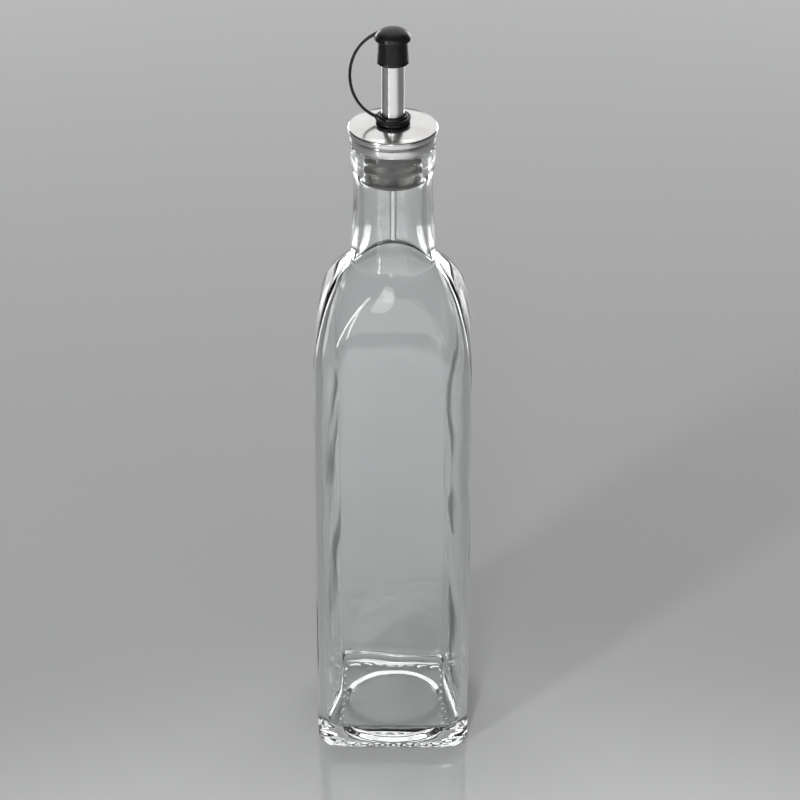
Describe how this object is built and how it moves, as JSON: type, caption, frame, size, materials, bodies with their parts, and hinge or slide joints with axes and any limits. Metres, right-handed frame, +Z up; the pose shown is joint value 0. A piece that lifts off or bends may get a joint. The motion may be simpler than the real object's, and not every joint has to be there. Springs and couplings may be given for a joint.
{
  "type": "oil cruet",
  "caption": "Tall square clear glass oil cruet with rounded shoulders and a round neck, a steel cover, a straight steel pouring spout and a black rubber cap on a strap.",
  "frame": {"origin": "centre of the base, on the surface that the bottle stands on", "axes": "+Z up along the bottle; the flat sides face X and Y; the strap of the cap loops out towards -X"},
  "size_m": [0.058, 0.058, 0.2892],
  "materials": {
    "clear_glass": "clear pressed glass, smooth and glossy",
    "clear_plastic": "clear moulded plastic",
    "polished_steel": "polished stainless steel",
    "black_rubber": "satin black rubber"
  },
  "bodies": {
    "root": {"bottle": "clear_glass", "plug": "clear_plastic", "steel_cover": "polished_steel", "spout_tube": "polished_steel", "vent_tube": "polished_steel", "rubber_cap": "black_rubber"}
  },
  "joints": []
}
